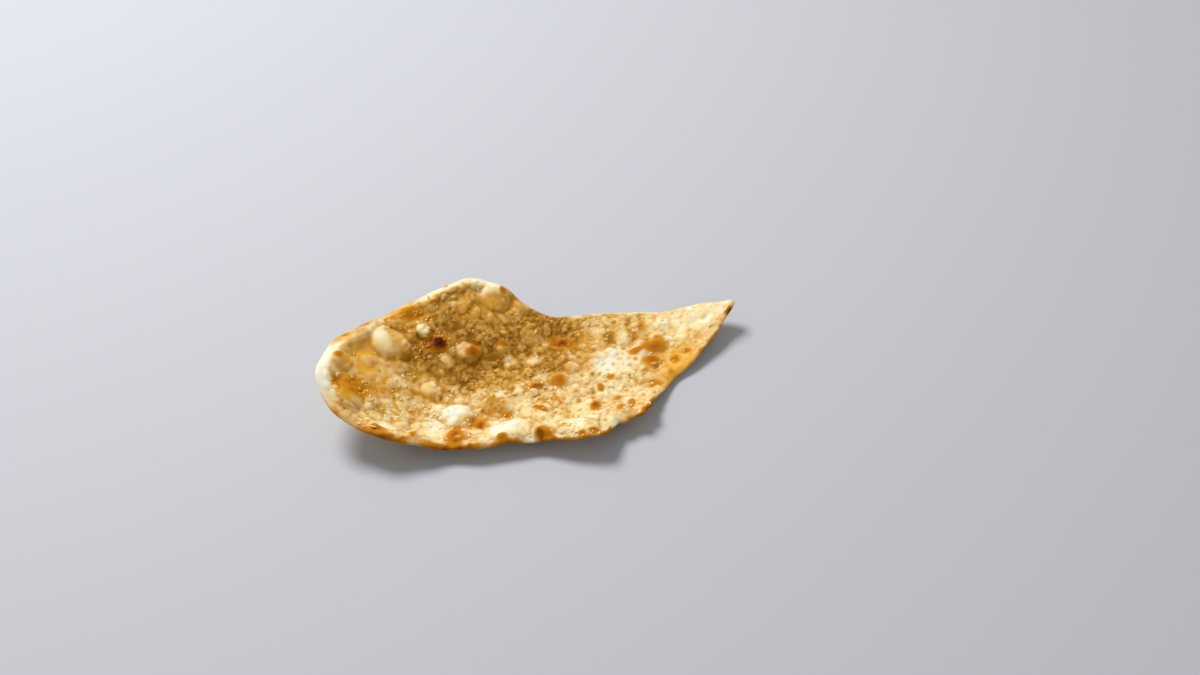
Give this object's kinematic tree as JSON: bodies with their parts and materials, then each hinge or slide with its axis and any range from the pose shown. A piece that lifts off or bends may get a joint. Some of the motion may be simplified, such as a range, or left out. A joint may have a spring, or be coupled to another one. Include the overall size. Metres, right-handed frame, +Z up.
{
  "type": "garlic naan",
  "caption": "Thin flat bread with a rounded end and a pointed tip, sagging to a flat middle, with baked blisters and chips of minced garlic on its upper face.",
  "frame": {"origin": "on the table, under the middle of the piece's bounding box", "axes": "+X from the rounded end to the pointed tip, +Y to the raised back corner, +Z up"},
  "size_m": [0.2226, 0.1132, 0.0363],
  "materials": {
    "crust": "baked dough, softly buttered, stood in for by matt plastic"
  },
  "bodies": {
    "root": {"naan": "crust"}
  },
  "joints": []
}
